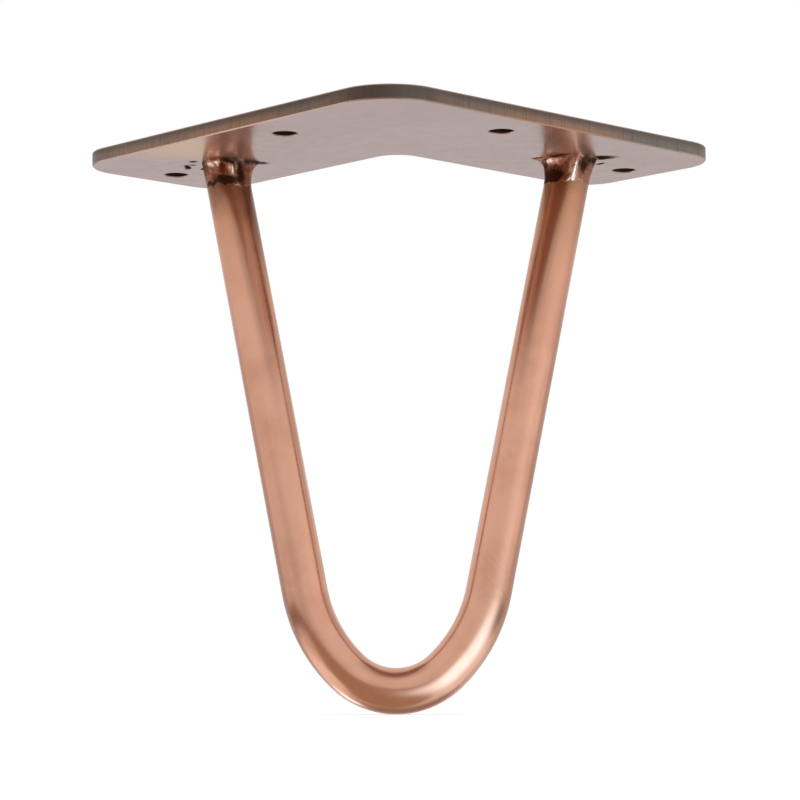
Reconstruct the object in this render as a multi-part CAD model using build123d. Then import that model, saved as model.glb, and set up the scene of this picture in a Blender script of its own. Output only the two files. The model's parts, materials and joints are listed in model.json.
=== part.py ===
from build123d import *
from math import acos, atan2, cos, degrees, hypot, radians, sin, tan
import os

os.makedirs("parts", exist_ok=True)

# A hairpin table leg: a flat chevron plate that screws to the underside of a table top, and one
# round bar, bent into a hairpin and welded to the plate by both ends. Millimetres.
# Frame: the origin is on the plate's top face, where the middles of its two arms cross. +Z is up,
# towards the table top, -Y is towards the plate's outer corner, and X = 0 is the plane of symmetry.

# Mounting plate, cut from flat stock
plate_thickness = 3.8
plate_corner_angle = 90.0  # between the two outer edges
arm_length = 127.0  # outer edge, from the sharp corner to the arm's end
arm_width = 52.0
outer_corner_radius = 15.0
inner_corner_radius = 7.0
arm_end_outer_radius = 13.0
arm_end_inner_radius = 10.0
plate_edge_break = 0.3

# Screw holes, two in each arm: one near the outer corner, one near the arm's end
screw_hole_diameter = 6.3
screw_hole_edge_break = 0.35
near_hole_along = 53.0  # from the sharp corner, along the outer edge
near_hole_inset = 13.2  # in from the outer edge
far_hole_from_end = 11.0
far_hole_inset = 27.5

# Hairpin rod
rod_diameter = 12.0
rod_along = 93.0  # where an end meets the plate, along the outer edge; across, it is mid-arm
leg_height = 154.0  # from the lowest point of the bend to the plate's top face
rod_lean = 10.25  # of the hairpin's plane, from upright towards the outer corner
nose_radius = 18.0  # centre line of the tight arc at the bottom
nose_angle = 88.0  # turn of that arc
shoulder_radius = 40.0  # centre line of the wider arc on each side of it

# Weld beads: a short flare on the plate, then a long thin slope down the rod
weld_leg_on_plate = 2.4
weld_flare_height = 1.4
weld_thickness_below_flare = 0.95
weld_leg_on_rod = 6.0
weld_thickness_at_toe = 0.3

half_corner = radians(plate_corner_angle / 2)
plate_underside = -plate_thickness
arm_middle = arm_width / 2
corner_to_origin = arm_middle / sin(half_corner)
rod_radius = rod_diameter / 2


def on_arm(along, inset, side):
    """Plan position of a point on the arm at side -1 or +1 of the plate."""
    x = along * sin(half_corner) - inset * cos(half_corner)
    y = along * cos(half_corner) + inset * sin(half_corner)
    return side * x, y - corner_to_origin


def make_plate():
    """The chevron: outer corner, arm ends and inner corner, each rounded by its own radius."""
    inner_corner_along = arm_width / tan(half_corner)
    corners = [
        (on_arm(0, 0, 1), outer_corner_radius),
        (on_arm(arm_length, 0, 1), arm_end_outer_radius),
        (on_arm(arm_length, arm_width, 1), arm_end_inner_radius),
        (on_arm(inner_corner_along, arm_width, 1), inner_corner_radius),
        (on_arm(arm_length, arm_width, -1), arm_end_inner_radius),
        (on_arm(arm_length, 0, -1), arm_end_outer_radius),
    ]
    points = [point for point, radius in corners]
    radii = [radius for point, radius in corners]
    outline = make_face(FilletPolyline(*points, radius=radii, close=True))
    hole_places = [
        (near_hole_along, near_hole_inset),
        (arm_length - far_hole_from_end, far_hole_inset),
    ]
    holes = [
        Pos(*on_arm(along, inset, side)) * Circle(screw_hole_diameter / 2)
        for along, inset in hole_places
        for side in (-1, 1)
    ]
    plate = extrude(outline - holes, -plate_thickness)
    rims = [edge for face in broad_faces(plate) for wire in face.inner_wires() for edge in wire.edges()]
    plate = chamfer(rims, screw_hole_edge_break)
    edges = [edge for face in broad_faces(plate) for edge in face.outer_wire().edges()]
    return chamfer(edges, plate_edge_break)


def broad_faces(plate):
    """The plate's underside and its top face."""
    faces = plate.faces().sort_by(Axis.Z)
    return faces[0], faces[-1]


# The hairpin's own plane: X across, Y up along the lean, origin midway between the rod's two ends
rod_end_x, rod_end_y = on_arm(rod_along, arm_middle, 1)
lean = radians(rod_lean)
hairpin_plane = Plane(
    origin=(0, rod_end_y, plate_underside),
    x_dir=(1, 0, 0),
    z_dir=(0, -cos(lean), sin(lean)),
)
hairpin_depth = (leg_height - plate_thickness - rod_radius) / cos(lean)


def rod_taper():
    """Angle of each straight from the hairpin's middle line: it is tangent to its shoulder arc."""
    nose_half = radians(nose_angle / 2)
    inward = shoulder_radius - nose_radius  # from the nose's centre to a shoulder's
    centre_x = -inward * sin(nose_half)
    centre_y = nose_radius - hairpin_depth + inward * cos(nose_half)
    across, up = rod_end_x - centre_x, -centre_y
    to_rod_end = atan2(up, across)
    between = acos(shoulder_radius / hypot(across, up))  # from there to the tangent point's radius
    return degrees(between - to_rod_end)


taper = rod_taper()


def straight_up(side):
    """Direction of the straight at side -1 or +1, from the bend to the plate."""
    across = hairpin_plane.x_dir * sin(radians(taper)) * side
    return across + hairpin_plane.y_dir * cos(radians(taper))


def make_rod():
    """The bar: straight, shoulder, nose, shoulder, straight, with both ends cut to the plate."""
    nose = JernArc((0, -hairpin_depth), (1, 0), nose_radius, nose_angle / 2)
    shoulder = JernArc(nose @ 1, nose % 1, shoulder_radius, 90 - taper - nose_angle / 2)
    beyond_plate = Vector(rod_end_x, 0) + (shoulder % 1) * rod_diameter
    half = Curve() + [nose, shoulder, Line(shoulder @ 1, beyond_plate)]
    path = hairpin_plane * (half + mirror(half, Plane.YZ))
    start = Plane(hairpin_plane.from_local_coords(beyond_plate), z_dir=straight_up(1))
    rod = sweep(start * Circle(rod_radius), path=path)
    return split(rod, Plane.XY.offset(plate_underside), keep=Keep.BOTTOM)


def make_weld_bead(side, rod):
    """The weld round one rod end: elliptical on the plate, round where it ends on the rod."""
    centre = Vector(side * rod_end_x, rod_end_y, plate_underside)
    square = Vector(0, 0, 1)
    up = straight_up(side)
    tilt = radians(up.get_angle(square))
    level = Vector(up.X, up.Y, 0)
    rings = [
        (0, weld_leg_on_plate),
        (weld_flare_height, weld_thickness_below_flare),
        (weld_leg_on_rod, weld_thickness_at_toe),
    ]
    sections = []
    for depth, thickness in rings:
        turned = depth / weld_leg_on_rod  # from square to the plate to square to the rod
        normal = (square * (1 - turned) + up * turned).normalized()
        x_dir = (level - normal * level.dot(normal)).normalized()
        plane = Plane(centre - up * depth, x_dir=x_dir, z_dir=normal)
        rod_long_radius = rod_radius / cos(tilt * (1 - turned))
        sections.append(plane * Ellipse(rod_long_radius + thickness, rod_radius + thickness))
    return loft(sections, ruled=True) - rod


rod = make_rod()
pieces = {
    "mounting_plate": make_plate(),
    "hairpin_rod": rod,
    "left_weld_bead": make_weld_bead(-1, rod),
    "right_weld_bead": make_weld_bead(1, rod),
}
for name, piece in pieces.items():
    export_step(piece, f"parts/{name}.step")
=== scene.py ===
import json
import math

import bmesh
import bpy
from mathutils import Matrix, Vector, noise


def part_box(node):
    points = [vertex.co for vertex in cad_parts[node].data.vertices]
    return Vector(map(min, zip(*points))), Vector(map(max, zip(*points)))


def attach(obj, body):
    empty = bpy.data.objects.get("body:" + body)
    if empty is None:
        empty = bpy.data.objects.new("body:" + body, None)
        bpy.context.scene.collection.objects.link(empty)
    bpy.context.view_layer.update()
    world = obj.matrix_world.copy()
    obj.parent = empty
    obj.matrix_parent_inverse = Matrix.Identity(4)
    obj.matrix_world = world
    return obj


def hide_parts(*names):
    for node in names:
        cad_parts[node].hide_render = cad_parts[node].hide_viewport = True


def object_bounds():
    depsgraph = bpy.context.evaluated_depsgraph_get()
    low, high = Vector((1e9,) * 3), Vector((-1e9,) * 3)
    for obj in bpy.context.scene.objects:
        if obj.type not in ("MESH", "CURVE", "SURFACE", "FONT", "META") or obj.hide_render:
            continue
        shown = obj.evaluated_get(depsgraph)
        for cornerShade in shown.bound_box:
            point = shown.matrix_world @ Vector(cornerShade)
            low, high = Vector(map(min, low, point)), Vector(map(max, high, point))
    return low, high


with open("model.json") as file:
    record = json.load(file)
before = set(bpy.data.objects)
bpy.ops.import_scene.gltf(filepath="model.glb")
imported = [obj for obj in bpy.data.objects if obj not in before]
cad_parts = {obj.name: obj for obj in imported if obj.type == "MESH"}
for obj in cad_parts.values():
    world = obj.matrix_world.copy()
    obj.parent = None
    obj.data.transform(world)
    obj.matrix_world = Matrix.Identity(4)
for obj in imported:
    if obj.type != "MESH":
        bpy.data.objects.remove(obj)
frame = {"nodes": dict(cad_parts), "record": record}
cadLow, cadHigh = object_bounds()
print("frame loaded:", ", ".join(sorted(frame["nodes"])))

mounts = {mount["name"]: mount for mount in frame["record"]["mounts"]}
plateLow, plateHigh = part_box("mounting_plate")
plateUnderside, plateTop = plateLow.z, plateHigh.z
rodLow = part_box("hairpin_rod")[0]

rodShape = {
    "radius": 0.006,
    "lean": math.radians(10.25),  # of the hairpin's plane, towards the plate's outer corner
    "taper": math.radians(11),  # of each straight, from the hairpin's middle line
    "noseRadius": 0.018,  # centre line of the bend
    "endAlongArm": 0.067,  # where a straight meets the plate, from the crossing of the arms' middles
    "armAngle": math.radians(45),  # between an arm and the X axis
}
lean, taper = rodShape["lean"], rodShape["taper"]
endAcross = rodShape["endAlongArm"] * math.cos(rodShape["armAngle"])
endBack = rodShape["endAlongArm"] * math.sin(rodShape["armAngle"])
planeUp = Vector((0, math.sin(lean), math.cos(lean)))  # up in the hairpin's leaning plane
planeOut = Vector((0, -math.cos(lean), math.sin(lean)))  # square to it, towards the outer corner
planeOrigin = Vector((0, endBack, plateUnderside))


def rodEnd(side):
    return Vector((side * endAcross, endBack, plateUnderside))


def rodDown(side):
    across = Vector((side * math.sin(taper), 0, 0))
    return -(across + planeUp * math.cos(taper))


# node helpers

def addNode(tree, kind, inputs=None, **settings):
    made = tree.nodes.new(kind)
    for name, value in settings.items():
        setattr(made, name, value)
    for key, value in (inputs or {}).items():
        if isinstance(value, bpy.types.NodeSocket):
            tree.links.new(value, made.inputs[key])
        else:
            made.inputs[key].default_value = value
    return made


def calc(tree, operation, *values):
    return addNode(tree, "ShaderNodeMath", dict(enumerate(values)), operation=operation).outputs[0]


def vectorCalc(tree, operation, *values):
    made = addNode(tree, "ShaderNodeVectorMath", dict(enumerate(values)), operation=operation)
    return made.outputs["Value" if operation in ("DOT_PRODUCT", "LENGTH") else "Vector"]


def combine(tree, x, y, z=0.0):
    return addNode(tree, "ShaderNodeCombineXYZ", {0: x, 1: y, 2: z}).outputs[0]


def separate(tree, vector):
    return addNode(tree, "ShaderNodeSeparateXYZ", {0: vector}).outputs


def fade(tree, value, start, end, low=0.0, high=1.0):
    limits = {"Value": value, "From Min": start, "From Max": end, "To Min": low, "To Max": high}
    return addNode(tree, "ShaderNodeMapRange", limits, interpolation_type="SMOOTHSTEP").outputs["Result"]


def blendColors(tree, factor, first, second):
    made = addNode(tree, "ShaderNodeMix", {0: factor, 6: first, 7: second}, data_type="RGBA")
    return made.outputs[2]


def cloud(tree, where, scale, detail=3.0, roughness=0.55, distortion=0.0):
    return addNode(tree, "ShaderNodeTexNoise", {
        "Vector": where, "Scale": scale, "Detail": detail,
        "Roughness": roughness, "Distortion": distortion}).outputs[0]


def largest(tree, amounts):
    total = amounts[0]
    for amount in amounts[1:]:
        total = calc(tree, "MAXIMUM", total, amount)
    return total


def rgb(red, green, blue):
    return (red, green, blue, 1.0)


def newFinish(name):
    finish = bpy.data.materials.new(name)
    finish.use_nodes = True
    finish.node_tree.nodes.clear()
    return finish, finish.node_tree


def metal(tree, color, roughness, height, bump, edgeTint):
    distance, strength = bump
    relief = addNode(tree, "ShaderNodeBump", {"Strength": strength, "Distance": distance, "Height": height})
    return addNode(tree, "ShaderNodeBsdfPrincipled", {
        "Base Color": color, "Roughness": roughness, "Metallic": 1.0,
        "Specular Tint": edgeTint, "Normal": relief.outputs[0]}).outputs[0]


def showSurface(tree, surface):
    addNode(tree, "ShaderNodeOutputMaterial", {"Surface": surface})


# copper rod: satin plating with faint draw lines along the bar, browner and darker near the plate, partly
# where the weld's heat reached and partly as painted shade

copperRod = {
    "color": rgb(0.64, 0.337, 0.234),
    "mottleColor": rgb(0.59, 0.296, 0.198),
    "drawLineColor": rgb(0.69, 0.39, 0.28),
    "edgeTint": rgb(0.92, 0.92, 0.92),
    # tan near the plate: partly heat tint, partly painted shade
    "tanAndShadeColor": rgb(0.50, 0.235, 0.14),
    "tanAndShadeReach": (0.045, 0.004),  # down the bar from the plate, where it starts and where it is full
    "scorchAndShade": {  # by side: colour, and the same two places; darker near the plate, partly heat scorch and partly painted shade
        -1: (rgb(0.20, 0.086, 0.052), (0.021, 0.0075)),
        1: (rgb(0.30, 0.16, 0.08), (0.013, 0.0035)),
    },
    "innerSideShade": 1.3,  # how much further the tan and scorch reach on the side that faces the other straight, as painted shade between the straights
    "heatAndShadePatchiness": 0.016,
    "bendReach": (0.030, -0.004),  # above the nose's centre, where lines start to turn and have turned
    "lineStretch": 0.03,
    "lineScale": 900.0,
    "mottleScale": 70.0,
    "grainScale": 1600.0,
    "roughness": (0.17, 0.24),
    "lineRoughness": 0.05,
    "bump": (0.00002, 0.35),  # distance, strength
}


def drawLines(tree, where, values):
    local = vectorCalc(tree, "SUBTRACT", where, planeOrigin)
    up = vectorCalc(tree, "DOT_PRODUCT", local, planeUp)
    out = vectorCalc(tree, "DOT_PRODUCT", local, planeOut)
    across = calc(tree, "ABSOLUTE", separate(tree, where)["X"])
    straight = calc(tree, "SUBTRACT", calc(tree, "MULTIPLY", across, math.cos(taper)),
                    calc(tree, "MULTIPLY", up, math.sin(taper)))  # steady along a straight
    depth = (plateUnderside - rodLow.z - rodShape["radius"]) / math.cos(lean)
    aboveNose = calc(tree, "ADD", up, depth - rodShape["noseRadius"])
    nose = vectorCalc(tree, "LENGTH", combine(tree, across, aboveNose))  # steady round the nose
    inBend = fade(tree, aboveNose, *values["bendReach"])
    steady = calc(tree, "ADD", calc(tree, "MULTIPLY", nose, inBend),
                  calc(tree, "MULTIPLY", straight, calc(tree, "SUBTRACT", 1.0, inBend)))
    along = calc(tree, "MULTIPLY", up, values["lineStretch"])
    return up, cloud(tree, combine(tree, steady, out, along), values["lineScale"], 2.0, 0.6)


def paintRod(values):
    finish, tree = newFinish("copperRod")
    coords = addNode(tree, "ShaderNodeTexCoord").outputs
    where = coords["Object"]
    up, lines = drawLines(tree, where, values)
    mottle = cloud(tree, where, values["mottleScale"], 4.0, 0.6)
    color = blendColors(tree, fade(tree, mottle, 0.42, 0.68), values["color"], values["mottleColor"])
    color = blendColors(tree, fade(tree, lines, 0.55, 0.8, 0.0, 0.45), color, values["drawLineColor"])

    side = calc(tree, "SIGN", separate(tree, where)["X"])
    inwards = calc(tree, "MULTIPLY", side, -1.0)
    facing = calc(tree, "MULTIPLY", separate(tree, coords["Normal"])["X"], inwards)
    inner = calc(tree, "MAXIMUM", facing, 0.0)
    # darker and browner near the plate, partly heat tint and partly painted shade; the painted shade reaches
    # further on the sides where the straights face each other
    stretch = calc(tree, "MULTIPLY_ADD", calc(tree, "MULTIPLY", inner, inner), values["innerSideShade"], 1.0)
    patchy = calc(tree, "MULTIPLY", calc(tree, "SUBTRACT", mottle, 0.5), values["heatAndShadePatchiness"])
    heatAndShade = calc(tree, "DIVIDE", calc(tree, "SUBTRACT", patchy, up), stretch)
    color = blendColors(tree, fade(tree, heatAndShade, *values["tanAndShadeReach"]), color, values["tanAndShadeColor"])
    # dark band near the plate, partly heat scorch and partly painted shade, set by side
    for whichSide, (scorchAndShadeColor, reach) in values["scorchAndShade"].items():
        here = calc(tree, "MAXIMUM", calc(tree, "MULTIPLY", side, whichSide), 0.0)
        scorchedAndShaded = calc(tree, "MULTIPLY", fade(tree, heatAndShade, *reach), here)
        color = blendColors(tree, scorchedAndShaded, color, scorchAndShadeColor)

    satin = fade(tree, mottle, 0.3, 0.7, *values["roughness"])
    roughness = calc(tree, "ADD", satin, calc(tree, "MULTIPLY", lines, values["lineRoughness"]))
    grain = cloud(tree, where, values["grainScale"], 2.0, 0.5)
    height = calc(tree, "ADD", calc(tree, "MULTIPLY", grain, 0.5), calc(tree, "MULTIPLY", lines, 0.6))
    showSurface(tree, metal(tree, color, roughness, height, values["bump"], values["edgeTint"]))
    return finish


# copper plate: pale and smooth on its faces, darker cut edges with painted shade in the inner corner and
# towards the top, hole walls painted near black as shade, weld smoke with painted shadow and reflection
# beside the welds on the underside

copperPlate = {
    "color": rgb(0.48, 0.33, 0.26),
    "cloudColor": rgb(0.43, 0.29, 0.225),
    "cloudScale": 28.0,
    "edgeTint": rgb(1.0, 1.0, 1.0),
    "hazeColor": rgb(0.72, 0.36, 0.28),  # a dull bloom over the shine
    "hazeShare": 0.20,
    # dark marks round the welds: partly weld smoke, partly painted shadow and reflection of the bead
    "smokeAndShadeColor": rgb(0.07, 0.042, 0.03),
    "smokeTint": rgb(0.2, 0.15, 0.12),
    "smokeRoughness": 0.25,
    "smokeAndShade": {  # by side: middle, from the middle of the bar's end, half sizes and turn of each mark
        -1: [((0.0088, 0.0010), (0.0036, 0.0022), 10), ((-0.0108, 0.0058), (0.0011, 0.0032), 0),
             ((-0.0084, -0.0016), (0.0014, 0.0014), 0), ((-0.0066, 0.0086), (0.0008, 0.0018), 25),
             ((-0.0090, 0.0032), (0.0012, 0.0007), 30)],
        1: [((0.0074, -0.0016), (0.0052, 0.0030), -6), ((-0.0088, -0.0010), (0.0022, 0.0020), 10),
            ((0.0084, 0.0070), (0.0009, 0.0020), 30)],
    },
    "haloColor": rgb(0.80, 0.45, 0.19),
    "halo": {  # by side: middle, as above, where it starts and where it is full, strength
        -1: ((-0.0080, -0.0230), (0.027, 0.004), 0.8),
        1: ((0.0, 0.0), (0.014, 0.008), 0.2),
    },
    "smokeAndShadeRaggedness": 1.5,
    "haloRaggedness": 0.004,
    "cutColor": rgb(0.18, 0.148, 0.13),
    "cutCopperColor": rgb(0.36, 0.195, 0.125),
    "cutCopperAcross": 0.042,  # from the middle line to where the cut edge is most coppery
    "cutCopperReach": (0.028, 0.006),
    "cutPatchScale": 22.0,
    # painted shade on the cut edge, in the inner corner and towards the top
    "cutCornerShadeColor": rgb(0.11, 0.08, 0.063),
    "cutCornerShadeReach": (0.020, 0.004),
    "cutLineColor": rgb(0.09, 0.07, 0.06),  # the torch's lines down the cut edge
    "cutLineScale": 1500.0,
    "cutLineStretch": 0.06,
    "cutRoughness": 0.5,
    # hole walls painted near black as shade
    "holeShadeColor": rgb(0.03, 0.018, 0.015),
    "holeShadeMargin": (0.00016, 0.00006),  # round a hole, where the painted shade starts and where it is full
    "holeRoughness": 0.7,
    "fineScale": 240.0,
    "grainScale": 1400.0,
    "roughness": (0.20, 0.27),
    "bump": (0.00002, 0.3),  # distance, strength
}


def holeDistance(tree, where):
    place = separate(tree, where)
    fromMiddle = calc(tree, "ABSOLUTE", place["X"])
    away = []
    for name in ("near_screw_holes", "far_screw_holes"):
        mount = mounts[name]
        across = mount["dims"]["spacing_x_mm"] / 2000  # half the spacing, in metres
        flat = combine(tree, calc(tree, "SUBTRACT", fromMiddle, across),
                       calc(tree, "SUBTRACT", place["Y"], mount["pos_m"][1]))
        away.append(vectorCalc(tree, "LENGTH", flat))
    return calc(tree, "MINIMUM", *away)


def smokeAndShadeAmount(tree, where, ragged, smokeAndShade):
    amounts = []
    for side, marks in smokeAndShade.items():
        for (x, y), (halfWidth, halfDepth), turn in marks:
            place = vectorCalc(tree, "SUBTRACT", where, rodEnd(side) + Vector((x, y, 0)))
            cosine, sine = math.cos(math.radians(turn)), math.sin(math.radians(turn))
            along = vectorCalc(tree, "DOT_PRODUCT", place, Vector((cosine, sine, 0)) / halfWidth)
            aside = vectorCalc(tree, "DOT_PRODUCT", place, Vector((-sine, cosine, 0)) / halfDepth)
            reach = vectorCalc(tree, "LENGTH", combine(tree, along, aside))
            amounts.append(fade(tree, calc(tree, "ADD", reach, ragged), 1.25, 0.45))
    return largest(tree, amounts)


def haloAmount(tree, where, stray, halo):
    amounts = []
    for side, ((x, y), reach, strength) in halo.items():
        place = vectorCalc(tree, "SUBTRACT", where, rodEnd(side) + Vector((x, y, 0)))
        away = calc(tree, "ADD", vectorCalc(tree, "LENGTH", place), stray)
        amounts.append(fade(tree, away, *reach, 0.0, strength))
    return largest(tree, amounts)


def cutEdgeColor(tree, where, lines, values):
    place = separate(tree, where)
    low = fade(tree, place["Z"], plateTop, plateUnderside)
    fromMiddle = calc(tree, "ABSOLUTE", place["X"])
    fromWeld = calc(tree, "ABSOLUTE", calc(tree, "SUBTRACT", fromMiddle, values["cutCopperAcross"]))
    byWeld = fade(tree, fromWeld, *values["cutCopperReach"])
    patches = fade(tree, cloud(tree, where, values["cutPatchScale"], 2.0), 0.35, 0.65, 0.0, 0.6)
    lowShare = fade(tree, low, 0.0, 1.0, 0.35, 1.0)  # more copper along the lower side
    copper = calc(tree, "MULTIPLY", calc(tree, "MAXIMUM", byWeld, patches), lowShare)
    color = blendColors(tree, copper, values["cutColor"], values["cutCopperColor"])
    # painted shade on the cut edge: darker in the inner corner where the arms meet and towards the plate's
    # top
    cornerShade = fade(tree, fromMiddle, *values["cutCornerShadeReach"])
    shade = calc(tree, "MAXIMUM", cornerShade, fade(tree, low, 0.75, 0.0, 0.0, 0.6))
    color = blendColors(tree, shade, color, values["cutCornerShadeColor"])
    return blendColors(tree, fade(tree, lines, 0.45, 0.7, 0.0, 0.35), color, values["cutLineColor"])


def paintPlate(values):
    finish, tree = newFinish("copperPlate")
    coords = addNode(tree, "ShaderNodeTexCoord").outputs
    where = coords["Object"]
    facing = separate(tree, coords["Normal"])["Z"]
    cut = fade(tree, calc(tree, "ABSOLUTE", facing), 0.82, 0.6)
    underside = fade(tree, facing, -0.8, -0.95)
    clouds = cloud(tree, where, values["cloudScale"], 4.0, 0.55, 0.4)
    fine = cloud(tree, where, values["fineScale"], 3.0, 0.6)
    ragged = calc(tree, "MULTIPLY", calc(tree, "SUBTRACT", fine, 0.5), values["smokeAndShadeRaggedness"])
    stray = calc(tree, "MULTIPLY", ragged, values["haloRaggedness"])
    color = blendColors(tree, fade(tree, clouds, 0.38, 0.66), values["color"], values["cloudColor"])
    halo = calc(tree, "MULTIPLY", haloAmount(tree, where, stray, values["halo"]), underside)
    color = blendColors(tree, halo, color, values["haloColor"])
    # partly weld smoke, partly painted shadow and reflection beside the welds
    smokeAndShade = calc(tree, "MULTIPLY", smokeAndShadeAmount(tree, where, ragged, values["smokeAndShade"]), underside)
    color = blendColors(tree, smokeAndShade, color, values["smokeAndShadeColor"])

    lineWhere = vectorCalc(tree, "MULTIPLY", where, Vector((1, 1, values["cutLineStretch"])))
    lines = cloud(tree, lineWhere, values["cutLineScale"], 2.0, 0.6)
    color = blendColors(tree, cut, color, cutEdgeColor(tree, where, lines, values))
    holeRadius = mounts["near_screw_holes"]["dims"]["hole_r_mm"] / 1000
    outer, inner = values["holeShadeMargin"]
    # painted shade in and round each hole
    inHole = fade(tree, holeDistance(tree, where), holeRadius + outer, holeRadius + inner)
    color = blendColors(tree, inHole, color, values["holeShadeColor"])

    smooth = fade(tree, fine, 0.3, 0.7, *values["roughness"])
    worn = calc(tree, "ADD", smooth, calc(tree, "MULTIPLY", smokeAndShade, values["smokeRoughness"]))
    roughness = largest(tree, [worn, calc(tree, "MULTIPLY", cut, values["cutRoughness"]),
                               calc(tree, "MULTIPLY", inHole, values["holeRoughness"])])
    grain = cloud(tree, where, values["grainScale"], 3.0, 0.6)
    height = calc(tree, "ADD", calc(tree, "MULTIPLY", grain, 0.5), calc(tree, "MULTIPLY", lines, cut))
    edgeTint = blendColors(tree, smokeAndShade, values["edgeTint"], values["smokeTint"])
    shiny = metal(tree, color, roughness, height, values["bump"], edgeTint)
    dull = addNode(tree, "ShaderNodeBsdfDiffuse", {"Color": values["hazeColor"]}).outputs[0]
    clean = calc(tree, "SUBTRACT", 1.0, largest(tree, [smokeAndShade, inHole, cut]))
    hazeShare = calc(tree, "MULTIPLY", clean, values["hazeShare"])
    showSurface(tree, addNode(tree, "ShaderNodeMixShader", {0: hazeShare, 1: shiny, 2: dull}).outputs[0])
    return finish


# weld metal under the plating: painted shade in its hollows, painted highlight on its crests, burnt in spots
# with painted shade along the plate contact and the lower rim

copperWeld = {
    # painted highlight on the crests and painted shade in the hollows
    "crestHighlightColor": rgb(0.66, 0.44, 0.36),
    "color": rgb(0.36, 0.165, 0.11),
    "hollowShadeColor": rgb(0.16, 0.066, 0.042),
    # burnt weld, partly painted shade along the plate contact and the lower rim
    "burntAndShadeColor": rgb(0.045, 0.02, 0.012),
    "burntRoughness": 0.15,
    "edgeTint": rgb(0.7, 0.62, 0.58),
    "patchScale": 520.0,
    "fineScale": 2200.0,
    "roughness": (0.16, 0.34),
    "bump": (0.00005, 0.4),  # distance, strength
}


def paintWeld(values):
    finish, tree = newFinish("copperWeld")
    where = addNode(tree, "ShaderNodeTexCoord").outputs["Object"]
    patches = cloud(tree, where, values["patchScale"], 4.0, 0.6, 0.3)
    fine = cloud(tree, where, values["fineScale"], 3.0, 0.6)
    crest = addNode(tree, "ShaderNodeAttribute", attribute_name="crest").outputs["Fac"]
    burnAndShade = addNode(tree, "ShaderNodeAttribute", attribute_name="burnAndShade").outputs["Fac"]
    # painted shade in the hollows and painted highlight on the crests, by the bead's height
    color = blendColors(tree, fade(tree, crest, 0.25, 0.5), values["hollowShadeColor"], values["color"])
    color = blendColors(tree, fade(tree, crest, 0.55, 0.85), color, values["crestHighlightColor"])
    # dark burnt weld, partly painted shade along the plate contact, the lower rim and the recesses
    ragged = calc(tree, "MULTIPLY_ADD", calc(tree, "SUBTRACT", patches, 0.5), 0.9, burnAndShade)
    color = blendColors(tree, fade(tree, ragged, 0.2, 0.7), color, values["burntAndShadeColor"])
    uneven = fade(tree, patches, 0.3, 0.7, *values["roughness"])
    roughness = calc(tree, "ADD", uneven, calc(tree, "MULTIPLY", burnAndShade, values["burntRoughness"]))
    height = calc(tree, "ADD", fine, calc(tree, "MULTIPLY", patches, 1.5))
    showSurface(tree, metal(tree, color, roughness, height, values["bump"], values["edgeTint"]))
    return finish


rodFinish = paintRod(copperRod)
plateFinish = paintPlate(copperPlate)
weldFinish = paintWeld(copperWeld)
for nodeName, finish in (("hairpin_rod", rodFinish), ("mounting_plate", plateFinish)):
    node = frame["nodes"][nodeName]
    node.data.materials.clear()
    node.data.materials.append(finish)
print("finishes made")


# weld beads: a rippled, lumpy fillet swept round each end of the bar

weldBead = {
    "legOnPlate": 0.0010,
    "legOnRod": 0.0079,
    "plateToeWander": 0.0003,  # how far each toe strays
    "rodToeWander": 0.0009,
    "rippleCount": 15,
    "rippleHeight": 0.00016,
    "grit": 0.00010,
    "gritScale": 900,
    "skin": 0.00008,  # least thickness over the bar
    "crestRange": 0.0016,  # height from the deepest hollow to the highest crest
    "rounds": 256,
    "rows": 52,
    "sunk": 0.0005,  # hidden inside the plate and the bar
}
weldShapes = {  # by side; angles run round the bar, and 270 faces the plate's outer corner
    -1: {
        "seed": 3.1,
        "flares": [(2, 15, 0.0033), (192, 36, -0.0009), (90, 40, 0.0010)],  # angle, spread, more on the plate
        "lumps": [  # angle, share of the way down, spreads, height
            (241, 0.34, 15, 0.15, 0.0010), (288, 0.54, 6, 0.15, 0.0010), (266, 0.50, 8, 0.30, -0.0006),
            (322, 0.45, 14, 0.30, -0.0004), (195, 0.50, 20, 0.40, -0.0004),
            (120, 0.40, 30, 0.25, 0.0007), (70, 0.45, 18, 0.25, 0.0005)],
        "burnAndShadeMarks": [  # angle, share of the way down, spreads, strength; partly burnt weld, partly painted shade at the plate contact, the lower rim and the recesses
            (286, 0.20, 22, 0.24, 1.1), (270, 0.90, 28, 0.12, 1.1), (312, 0.70, 14, 0.30, 0.8),
            (215, 0.95, 20, 0.08, 0.7), (335, 0.15, 16, 0.20, 0.6), (20, 0.20, 40, 0.30, 0.8),
            (236, 0.78, 18, 0.13, 0.36)],
    },
    1: {
        "seed": 7.7,
        "flares": [(181, 13, 0.0029), (0, 16, 0.0004), (90, 40, 0.0010)],
        "lumps": [
            (222, 0.35, 22, 0.13, 0.0012), (228, 0.74, 24, 0.20, -0.0006), (281, 0.58, 10, 0.50, 0.0013),
            (272, 0.84, 6, 0.07, -0.0003), (304, 0.50, 10, 0.40, -0.0004), (60, 0.45, 30, 0.25, 0.0007)],
        "burnAndShadeMarks": [
            (228, 0.87, 32, 0.17, 1.2), (190, 0.60, 16, 0.35, 0.6), (309, 0.45, 15, 0.40, 1.0),
            (345, 0.30, 20, 0.30, 0.8), (246, 0.04, 26, 0.16, 0.9), (190, 0.98, 20, 0.05, 0.6)],
    },
}


def bell(distance, spread):
    return math.exp(-(distance / spread) ** 2)


def apartBy(degrees, angle):
    return (degrees - angle + 180) % 360 - 180


def markSum(marks, degrees, share):
    return sum(amount * bell(apartBy(degrees, angle), wide) * bell(share - down, tall)
               for angle, down, wide, tall, amount in marks)


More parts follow.
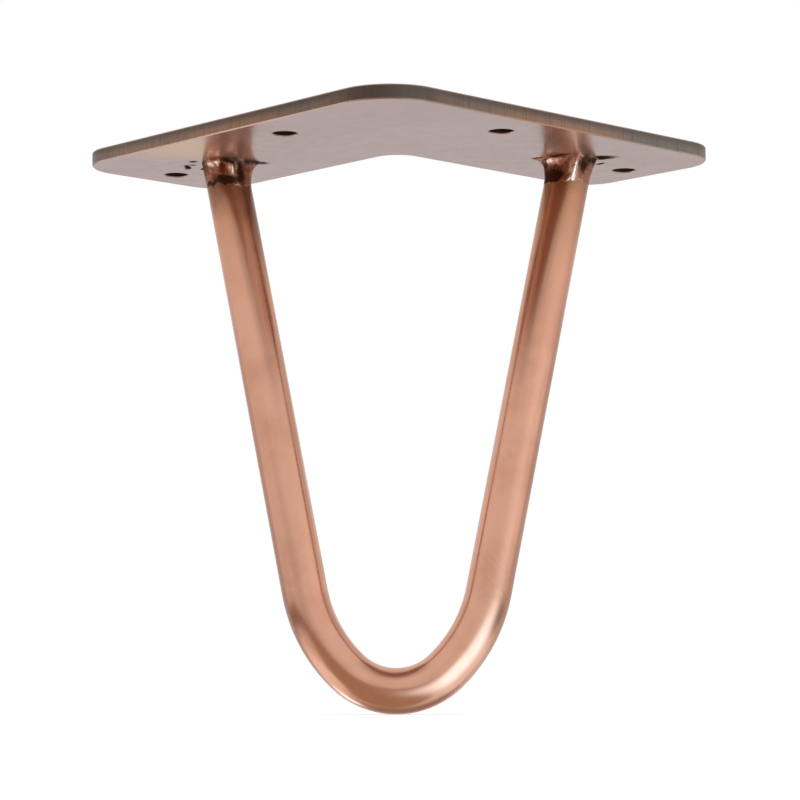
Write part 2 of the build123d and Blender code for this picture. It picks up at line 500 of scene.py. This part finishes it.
def toeReach(degrees, around, shape):
    seed = shape["seed"]
    onPlate = weldBead["legOnPlate"]
    onPlate += weldBead["plateToeWander"] * noise.noise(around * 1.8 + Vector((0, 0, seed)))
    onPlate += sum(more * bell(apartBy(degrees, angle), wide) for angle, wide, more in shape["flares"])
    stray = noise.noise(around * 1.8 + Vector((9, 0, seed)))
    stray += 0.5 * noise.noise(around * 6 + Vector((5, 0, seed)))
    return onPlate, weldBead["legOnRod"] + weldBead["rodToeWander"] * stray


def lumpHeight(degrees, share, shape):
    angle = math.radians(degrees)
    uneven = noise.noise(Vector((math.cos(angle) * 1.5, math.sin(angle) * 1.5, shape["seed"])))
    lag = 2.2 * (share - 0.45) ** 2  # ripples trail behind the torch
    wave = ((angle + 0.5 * uneven) * weldBead["rippleCount"] / (2 * math.pi) - lag) % 1
    ripple = weldBead["rippleHeight"] * (0.5 - (2 * wave - 1) ** 2)
    return markSum(shape["lumps"], degrees, share) + ripple


def addSection(bead, rings, layers, degrees, end, down, shape):
    around = Vector((math.cos(math.radians(degrees)), math.sin(math.radians(degrees)), 0))
    lengthwise = around.dot(down)
    onPlate = around / math.sqrt(1 - lengthwise ** 2)  # along the plate, longer where the bar is cut aslant
    outward = (around - down * lengthwise).normalized()  # square to the bar
    surface = end + onPlate * rodShape["radius"]
    plateLeg, rodLeg = toeReach(degrees, around, shape)
    lift = (outward * rodLeg + down * plateLeg).normalized()
    rows = weldBead["rows"]
    for row in range(rows):
        share = row / (rows - 1)
        turn = share * math.pi / 2  # 0 on the plate, a quarter turn on the bar
        point = surface + onPlate * plateLeg * (1 - math.sin(turn) ** 1.1)
        point += down * rodLeg * (1 - math.cos(turn) ** 0.9)
        height = lumpHeight(degrees, share, shape)
        height += weldBead["grit"] * noise.fractal(point * weldBead["gritScale"], 1.0, 2.0, 3)
        if 0 < share < 1:
            point += lift * height * math.sin(math.pi * share) ** 0.6
        fromEnd = point - end
        sideways = fromEnd - down * fromEnd.dot(down)
        least = rodShape["radius"] + weldBead["skin"] * (1 - share ** 3)
        if sideways.length < least:
            point += sideways.normalized() * (least - sideways.length)
        point.z = min(point.z, plateUnderside)
        vertex = bead.verts.new(point)
        vertex[layers["crest"]] = min(max(0.5 + height / weldBead["crestRange"], 0.0), 1.0)
        vertex[layers["burnAndShade"]] = min(markSum(shape["burnAndShadeMarks"], degrees, share), 1.0)
        rings[row].append(vertex)
    sunk = weldBead["sunk"]
    inside = surface - onPlate * sunk  # back up inside the bar, then out inside the plate
    hidden = (inside + down * rodLeg, inside - down * sunk,
              surface + onPlate * (plateLeg - sunk) + Vector((0, 0, sunk)))
    for ring, point in zip(rings[rows:], hidden):
        ring.append(bead.verts.new(point))


def makeWeldBead(name, side, nodeName):
    bead = bmesh.new()
    layers = {layer: bead.verts.layers.float.new(layer) for layer in ("crest", "burnAndShade")}
    rings = [[] for row in range(weldBead["rows"] + 3)]  # and the three hidden ones
    rounds = weldBead["rounds"]
    for step in range(rounds):
        addSection(bead, rings, layers, 360 * step / rounds, rodEnd(side), rodDown(side), weldShapes[side])
    for row, ring in enumerate(rings):
        below = rings[(row + 1) % len(rings)]
        for step in range(rounds):
            after = (step + 1) % rounds
            bead.faces.new((ring[step], below[step], below[after], ring[after]))
    bmesh.ops.recalc_face_normals(bead, faces=bead.faces)
    mesh = bpy.data.meshes.new(name)
    bead.to_mesh(mesh)
    bead.free()
    mesh.shade_smooth()
    mesh.materials.append(weldFinish)
    piece = bpy.data.objects.new(name, mesh)
    bpy.context.scene.collection.objects.link(piece)
    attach(piece, "root")
    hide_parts(nodeName)
    print("weld bead made:", name, len(mesh.polygons), "faces")


makeWeldBead("leftWeldBead", -1, "left_weld_bead")
makeWeldBead("rightWeldBead", 1, "right_weld_bead")


# studio: a pale floor, a white room with dim walls and soft lights, and a white card level with the plate

studio = {
    "floorColor": rgb(0.8, 0.805, 0.815),
    "floorGlow": 0.335,
    "floorSize": 12.0,
    "roomColor": rgb(1.0, 1.0, 1.0),
    "cardRadius": 0.66,
    "cardDrop": 0.0005,  # below the plate's top
    "cardGlow": (0.68, 1.02),  # near the leg and away from it
    "cardShade": (0.035, 0.09),  # from the middle, where it is near and where it is away
    "cardSpots": [  # middle, where each starts and is full, how bright it leaves the card
        ((-0.22, -0.36), (0.28, 0.08), 0.82),
        ((0.18, 0.17), (0.17, 0.05), 0.74),
        ((0.32, -0.12), (0.26, 0.08), 1.17),
    ],
}
# patches of the room in degrees: azimuth 0 is the camera's side and 90 is +X
studioPatches = [  # a later one lies over the earlier ones
    {"azimuth": 82, "elevation": 6, "wide": 32, "tall": 7, "turn": 0, "soft": 0.5,
     "color": rgb(1.2, 1.2, 1.2)},  # right horizon
    {"azimuth": -126, "elevation": -11, "wide": 26, "tall": 15, "turn": 0, "soft": 0.4,
     "color": rgb(0.58, 0.56, 0.54)},  # left wall
    {"azimuth": 134, "elevation": 0, "wide": 28, "tall": 18, "turn": 0, "soft": 0.4,
     "color": rgb(0.70, 0.68, 0.66)},  # right wall
    {"azimuth": 180, "elevation": -8, "wide": 40, "tall": 12, "turn": 0, "soft": 0.4,
     "color": rgb(0.65, 0.755, 0.84)},  # back wall
    {"azimuth": 180, "elevation": -60, "wide": 40, "tall": 26, "turn": 0, "soft": 0.3,
     "color": rgb(0.42, 0.38, 0.34)},  # dim behind and below
    {"azimuth": -15, "elevation": -38, "wide": 42, "tall": 54, "turn": 0, "soft": 0.06,
     "color": rgb(0.54, 0.41, 0.31)},  # dim front
    {"azimuth": -98, "elevation": -34, "wide": 32, "tall": 15, "turn": -6, "soft": 0.2,
     "color": rgb(1.35, 1.38, 1.43)},  # left panel
    {"azimuth": -137, "elevation": -42, "wide": 10, "tall": 8, "turn": 0, "soft": 0.6,
     "color": rgb(3.0, 3.8, 4.6)},  # kicker behind it
    {"azimuth": -74, "elevation": -4, "wide": 42, "tall": 5, "turn": 12, "soft": 0.4,
     "color": rgb(0.2, 0.13, 0.09)},  # gap over it
    {"azimuth": 84, "elevation": -8, "wide": 31, "tall": 6, "turn": -8, "soft": 0.37,
     "color": rgb(0.2, 0.2, 0.2)},  # gap on the right
    {"azimuth": 72, "elevation": -36, "wide": 38, "tall": 20, "turn": -4, "soft": 0.2,
     "color": rgb(1.25, 1.45, 1.55)},  # right panel
    {"azimuth": 41, "elevation": -15, "wide": 31, "tall": 21, "turn": -13, "soft": 0.58,
     "color": rgb(2.05, 2.9, 3.5)},  # key softbox
]


def lookDirection(azimuth, elevation):
    azimuth, elevation = math.radians(azimuth), math.radians(elevation)
    return Vector((math.sin(azimuth) * math.cos(elevation), -math.cos(azimuth) * math.cos(elevation),
                   math.sin(elevation)))


def patchAmount(tree, look, patch):
    centre = lookDirection(patch["azimuth"], patch["elevation"])
    side = lookDirection(patch["azimuth"] + 90, 0)
    rise = side.cross(centre)
    rise = rise if rise.z > 0 else -rise
    turn = math.radians(patch["turn"])
    long = side * math.cos(turn) + rise * math.sin(turn)
    short = rise * math.cos(turn) - side * math.sin(turn)
    angle = calc(tree, "ARCCOSINE", vectorCalc(tree, "DOT_PRODUCT", look, centre))
    across = vectorCalc(tree, "DOT_PRODUCT", look, long)
    over = vectorCalc(tree, "DOT_PRODUCT", look, short)
    plain = vectorCalc(tree, "LENGTH", combine(tree, across, over))
    scaled = combine(tree, calc(tree, "DIVIDE", across, math.radians(patch["wide"])),
                     calc(tree, "DIVIDE", over, math.radians(patch["tall"])))
    ratio = calc(tree, "DIVIDE", vectorCalc(tree, "LENGTH", scaled), plain)
    reach = calc(tree, "MULTIPLY", angle, ratio)  # 1 on the patch's rim, whatever the direction
    return fade(tree, reach, 1 + patch["soft"], 1 - patch["soft"])


def makeRoom(values):
    world = bpy.data.worlds.new("studioRoom")
    bpy.context.scene.world = world
    world.use_nodes = True
    tree = world.node_tree
    tree.nodes.clear()
    look = addNode(tree, "ShaderNodeTexCoord").outputs["Generated"]
    color = values["roomColor"]
    for patch in studioPatches:
        color = blendColors(tree, patchAmount(tree, look, patch), color, patch["color"])
    light = addNode(tree, "ShaderNodeBackground", {"Color": color, "Strength": 1.0})
    backdrop = addNode(tree, "ShaderNodeBackground", {"Color": rgb(1, 1, 1), "Strength": 1.0})
    path = addNode(tree, "ShaderNodeLightPath").outputs
    seen = calc(tree, "MAXIMUM", path["Is Camera Ray"], path["Is Transmission Ray"])
    both = addNode(tree, "ShaderNodeMixShader", {0: seen, 1: light.outputs[0], 2: backdrop.outputs[0]})
    addNode(tree, "ShaderNodeOutputWorld", {"Surface": both.outputs[0]})


def stagePiece(name, mesh, finish):
    mesh.materials.append(finish)
    piece = bpy.data.objects.new(name, mesh)
    bpy.context.scene.collection.objects.link(piece)


def makeFloor(values):
    half, level = values["floorSize"] / 2, cadLow.z
    corners = [(-half, -half, level), (half, -half, level), (half, half, level), (-half, half, level)]
    mesh = bpy.data.meshes.new("studioFloor")
    mesh.from_pydata(corners, [], [(0, 1, 2, 3)])
    finish, tree = newFinish("studioFloor")
    matte = addNode(tree, "ShaderNodeBsdfDiffuse", {"Color": values["floorColor"]})
    glow = addNode(tree, "ShaderNodeEmission", {"Color": rgb(1, 1, 1), "Strength": values["floorGlow"]})
    lit = addNode(tree, "ShaderNodeAddShader", {0: matte.outputs[0], 1: glow.outputs[0]})
    clear = addNode(tree, "ShaderNodeBsdfTransparent")
    looking = addNode(tree, "ShaderNodeLightPath").outputs["Is Camera Ray"]
    beneath = addNode(tree, "ShaderNodeNewGeometry").outputs["Backfacing"]
    seen = calc(tree, "MULTIPLY", looking, calc(tree, "SUBTRACT", 1.0, beneath))
    both = addNode(tree, "ShaderNodeMixShader", {0: seen, 1: clear.outputs[0], 2: lit.outputs[0]})
    showSurface(tree, both.outputs[0])
    stagePiece("studioFloor", mesh, finish)


def makeCard(values):
    disc = bmesh.new()
    bmesh.ops.create_circle(disc, cap_ends=True, segments=96, radius=values["cardRadius"],
                            matrix=Matrix.Translation((0, 0, plateTop - values["cardDrop"])))
    mesh = bpy.data.meshes.new("reflectionCard")
    disc.to_mesh(mesh)
    disc.free()
    finish, tree = newFinish("reflectionCard")
    where = addNode(tree, "ShaderNodeTexCoord").outputs["Object"]
    flat = vectorCalc(tree, "MULTIPLY", where, Vector((1, 1, 0)))
    glow = fade(tree, vectorCalc(tree, "LENGTH", flat), *values["cardShade"], *values["cardGlow"])
    for place, reach, amount in values["cardSpots"]:
        away = vectorCalc(tree, "LENGTH", vectorCalc(tree, "SUBTRACT", flat, Vector((*place, 0))))
        glow = calc(tree, "MULTIPLY", glow, fade(tree, away, *reach, 1.0, amount))
    white = addNode(tree, "ShaderNodeEmission", {"Color": rgb(1, 1, 1), "Strength": glow})
    clear = addNode(tree, "ShaderNodeBsdfTransparent")
    mirrored = addNode(tree, "ShaderNodeLightPath").outputs["Is Glossy Ray"]
    both = addNode(tree, "ShaderNodeMixShader", {0: mirrored, 1: clear.outputs[0], 2: white.outputs[0]})
    showSurface(tree, both.outputs[0])
    stagePiece("reflectionCard", mesh, finish)


makeRoom(studio)
makeFloor(studio)
makeCard(studio)
print("studio made")


# camera, low and almost level, looking up under the plate

cameraView = {
    "place": Vector((0.022644, -0.684114, -0.149484)),
    "turn": math.radians(1.741),  # to the left
    "tilt": math.radians(6.232),  # upwards
    "roll": math.radians(-0.243),
    "lens": 122.4,
}


def makeCamera(values):
    data = bpy.data.cameras.new("legCamera")
    data.lens = values["lens"]
    data.sensor_width = 36.0
    data.clip_start, data.clip_end = 0.01, 100.0
    camera = bpy.data.objects.new("legCamera", data)
    bpy.context.scene.collection.objects.link(camera)
    bpy.context.scene.camera = camera
    level = Matrix.Rotation(values["turn"], 4, "Z") @ Matrix.Rotation(math.pi / 2 + values["tilt"], 4, "X")
    turned = level @ Matrix.Rotation(values["roll"], 4, "Z")
    camera.matrix_world = Matrix.Translation(values["place"]) @ turned


makeCamera(cameraView)
bpy.context.scene.view_settings.view_transform = "Standard"
print("camera made")
